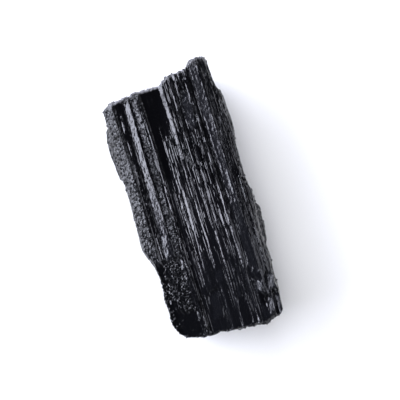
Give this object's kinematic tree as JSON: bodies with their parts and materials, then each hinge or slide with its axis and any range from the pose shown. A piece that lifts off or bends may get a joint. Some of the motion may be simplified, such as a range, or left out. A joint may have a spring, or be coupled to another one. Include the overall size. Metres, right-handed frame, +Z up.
{
  "type": "tourmaline crystal",
  "caption": "Black tourmaline crystal: a broken length of a ribbed column with a horn at one end, lying on its flat back.",
  "frame": {"origin": "centre of the bounding box's bottom face, on the surface that the crystal lies on", "axes": "+Y along the column towards the crown, the end with the horn; +X across the front, to the right with the crown at the top; +Z up, out of the front"},
  "size_m": [0.0554, 0.1172, 0.0329],
  "materials": {
    "schorl": "glassy black with frosted and striated faces"
  },
  "bodies": {
    "root": {"tourmaline_crystal": "schorl"}
  },
  "joints": []
}
